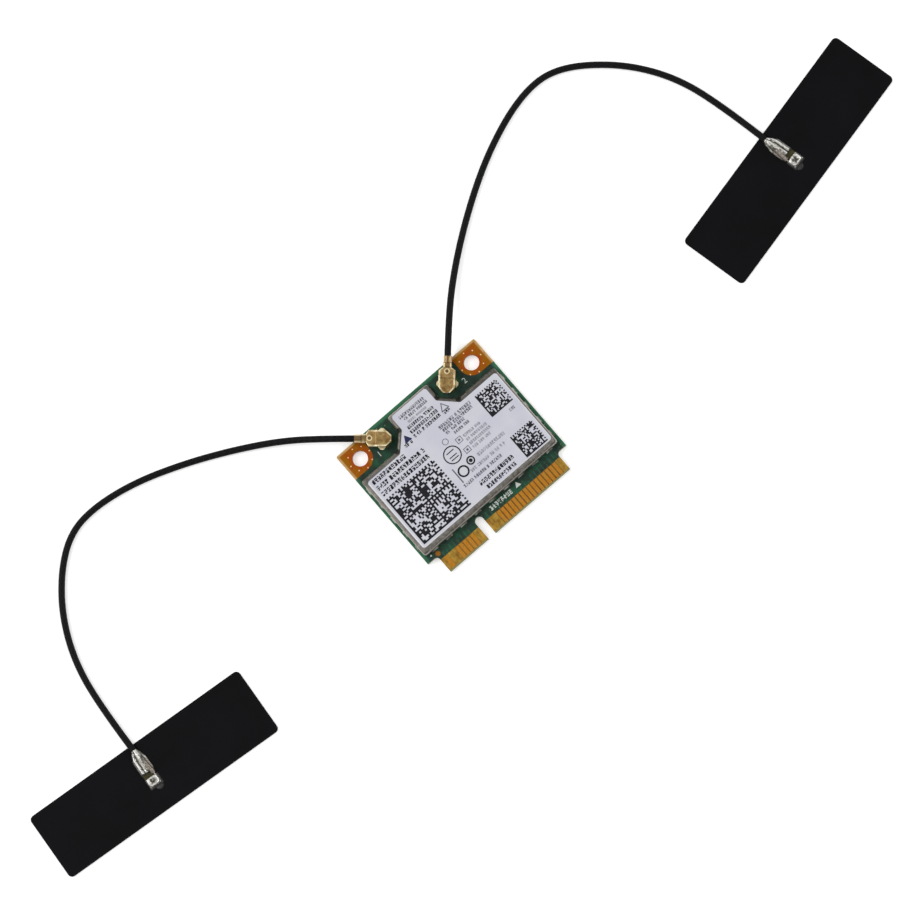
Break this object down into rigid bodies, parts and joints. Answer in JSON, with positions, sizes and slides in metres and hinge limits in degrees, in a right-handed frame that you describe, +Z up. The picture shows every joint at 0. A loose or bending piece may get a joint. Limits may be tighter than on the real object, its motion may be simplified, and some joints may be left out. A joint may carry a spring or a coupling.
{
  "type": "half-length mini card radio with two antenna leads",
  "caption": "Small radio card with an edge connector, a shield can under a label, and two plugged coaxial leads that end in flat film antennas.",
  "frame": {"origin": "middle of the card in plan, on the plane of its lower pads and contacts, which is the table", "axes": "+X along the card's width, +Y from the edge contacts towards the screw holes, +Z up through the shield can"},
  "size_m": [0.1883, 0.054, 0.0034],
  "materials": {
    "board": "green solder mask on glass laminate",
    "rim_copper": "plated copper",
    "gold_plate": "gold plate",
    "plug_gold": "gold plate, satin",
    "can_metal": "tin plate, satin",
    "solder": "solder, bright",
    "label_film": "matt film",
    "chip_black": "moulded, matt",
    "ferrite": "matt",
    "crystal_lid": "satin",
    "ceramic_white": "fired ceramic",
    "ceramic_brown": "fired ceramic",
    "socket_plastic": "moulded",
    "cable_black": "smooth jacket",
    "braid_silver": "tinned wire",
    "dielectric_white": "translucent",
    "adhesive": "tape",
    "antenna_black": "matt film"
  },
  "bodies": {
    "card": {"pcb": "board", "mounting_rim_1": "rim_copper", "mounting_rim_2": "rim_copper", "edge_contacts_upper": "gold_plate", "edge_contacts_lower": "gold_plate", "shield_can": "can_metal", "shield_solder": "solder", "label": "label_film", "radio_chip": "chip_black", "front_end_chip_1": "chip_black", "front_end_chip_2": "chip_black", "memory_chip": "chip_black", "power_converter": "chip_black", "power_inductor": "ferrite", "crystal": "crystal_lid", "band_filters": "ceramic_white", "capacitors": "ceramic_brown", "resistors": "chip_black", "receptacle_1_base": "socket_plastic", "receptacle_1_pin": "gold_plate", "receptacle_1_ring": "gold_plate", "receptacle_2_base": "socket_plastic", "receptacle_2_pin": "gold_plate", "receptacle_2_ring": "gold_plate"},
    "lead_1": {"plug_1_shell": "plug_gold", "plug_1_insulator": "socket_plastic", "plug_1_contact": "gold_plate", "cable_1_jacket": "cable_black", "cable_1_braid": "braid_silver", "cable_1_dielectric": "dielectric_white", "cable_1_core": "braid_silver", "antenna_1_adhesive": "adhesive", "antenna_1_film": "antenna_black", "antenna_1_pads": "solder", "antenna_1_ground_solder": "solder", "antenna_1_feed_solder": "solder"},
    "lead_2": {"plug_2_shell": "plug_gold", "plug_2_insulator": "socket_plastic", "plug_2_contact": "gold_plate", "cable_2_jacket": "cable_black", "cable_2_braid": "braid_silver", "cable_2_dielectric": "dielectric_white", "cable_2_core": "braid_silver", "antenna_2_adhesive": "adhesive", "antenna_2_film": "antenna_black", "antenna_2_pads": "solder", "antenna_2_ground_solder": "solder", "antenna_2_feed_solder": "solder"}
  },
  "joints": [
    {"name": "plug_1_swivel", "type": "hinge", "parent": "card", "child": "lead_1", "pos_m": [-0.00735, 0.01065, 0.00105], "axis": [0, 0, 1], "range_deg": [-45, 55]},
    {"name": "plug_2_swivel", "type": "hinge", "parent": "card", "child": "lead_2", "pos_m": [0.0069, 0.0105, 0.00105], "axis": [0, 0, 1], "range_deg": [-55, 45]}
  ]
}
